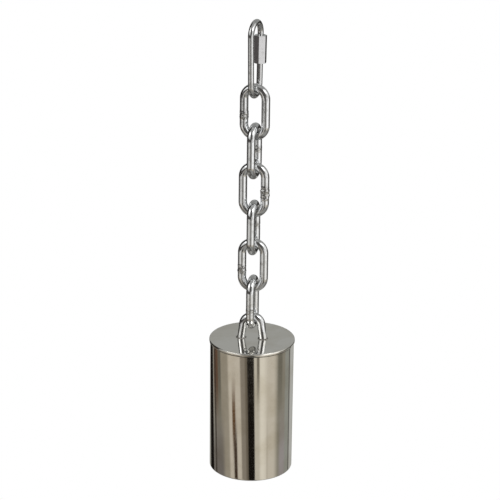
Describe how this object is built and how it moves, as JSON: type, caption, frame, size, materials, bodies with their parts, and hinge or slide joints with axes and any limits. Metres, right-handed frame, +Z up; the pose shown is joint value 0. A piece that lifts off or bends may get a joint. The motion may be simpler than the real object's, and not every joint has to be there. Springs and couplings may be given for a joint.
{
  "type": "hanging pipe bell",
  "caption": "Round capped metal tube, open at the bottom with a clapper inside, hung from a welded link chain with a threaded quick link at the top.",
  "frame": {"origin": "where a hook bears: the inside of the quick link's top bow, at its highest point", "axes": "+Z up along the hanging chain, -Y towards the viewer, +X to the viewer's right"},
  "size_m": [0.0518, 0.0518, 0.2806],
  "materials": {
    "polished_nickel": "mirror-polished nickel plate on steel tube and plate",
    "bright_zinc": "bright zinc plate on steel wire, slightly rippled",
    "weld_metal": "rippled weld bead, dull",
    "plain_steel": "plain drawn and turned steel"
  },
  "bodies": {
    "quick_link": {"quick_link_body": "bright_zinc"},
    "sleeve": {"quick_link_sleeve": "bright_zinc"},
    "chain_link_1": {"chain_link_1": "bright_zinc"},
    "chain_link_2": {"chain_link_2": "bright_zinc"},
    "chain_link_3": {"chain_link_3": "bright_zinc"},
    "chain_link_4": {"chain_link_4": "bright_zinc"},
    "chain_link_5": {"chain_link_5": "bright_zinc"},
    "chain_link_6": {"chain_link_6": "bright_zinc"},
    "bell": {"top_plate": "polished_nickel", "bell_tube": "polished_nickel", "seam_weld": "weld_metal", "hanger_link": "bright_zinc", "hanger_weld_left": "weld_metal", "hanger_weld_right": "weld_metal"},
    "clapper_link": {"clapper_link": "bright_zinc"},
    "clapper": {"clapper_rod": "plain_steel", "clapper_ball": "plain_steel"}
  },
  "joints": [
    {"name": "sleeve_screw", "type": "slide", "parent": "quick_link", "child": "sleeve", "axis": [-0.0117, -0.0282, -0.9995], "range_m": [0, 0.0095]},
    {"name": "chain_link_1_swing", "type": "hinge", "parent": "quick_link", "child": "chain_link_1", "pos_m": [0, 0, -0.04125], "axis": [0.3827, 0.9239, 0], "range_deg": [-75, 75]},
    {"name": "chain_link_2_swing", "type": "hinge", "parent": "chain_link_1", "child": "chain_link_2", "pos_m": [0, 0, -0.0657], "axis": [0.9397, -0.342, 0], "range_deg": [-75, 75]},
    {"name": "chain_link_3_swing", "type": "hinge", "parent": "chain_link_2", "child": "chain_link_3", "pos_m": [0, 0, -0.0894], "axis": [-0.2874, -0.9578, 0], "range_deg": [-75, 75]},
    {"name": "chain_link_4_swing", "type": "hinge", "parent": "chain_link_3", "child": "chain_link_4", "pos_m": [0, 0, -0.1131], "axis": [-0.9703, 0.2419, 0], "range_deg": [-75, 75]},
    {"name": "chain_link_5_swing", "type": "hinge", "parent": "chain_link_4", "child": "chain_link_5", "pos_m": [0, 0, -0.1368], "axis": [0.2284, 0.9736, 0], "range_deg": [-75, 75]},
    {"name": "chain_link_6_swing", "type": "hinge", "parent": "chain_link_5", "child": "chain_link_6", "pos_m": [0, 0, -0.1605], "axis": [0.9781, -0.2079, 0], "range_deg": [-75, 75]},
    {"name": "bell_swing", "type": "hinge", "parent": "chain_link_6", "child": "bell", "pos_m": [0, 0, -0.1842], "axis": [-0.2045, -0.9789, 0], "range_deg": [-75, 75]},
    {"name": "clapper_link_swing", "type": "hinge", "parent": "bell", "child": "clapper_link", "pos_m": [0, 0, -0.2079], "axis": [0.9903, -0.1392, 0], "range_deg": [-10, 10]},
    {"name": "clapper_swing", "type": "hinge", "parent": "clapper_link", "child": "clapper", "pos_m": [0, 0, -0.2316], "axis": [0.1392, 0.9903, 0], "range_deg": [-18, 18]}
  ]
}
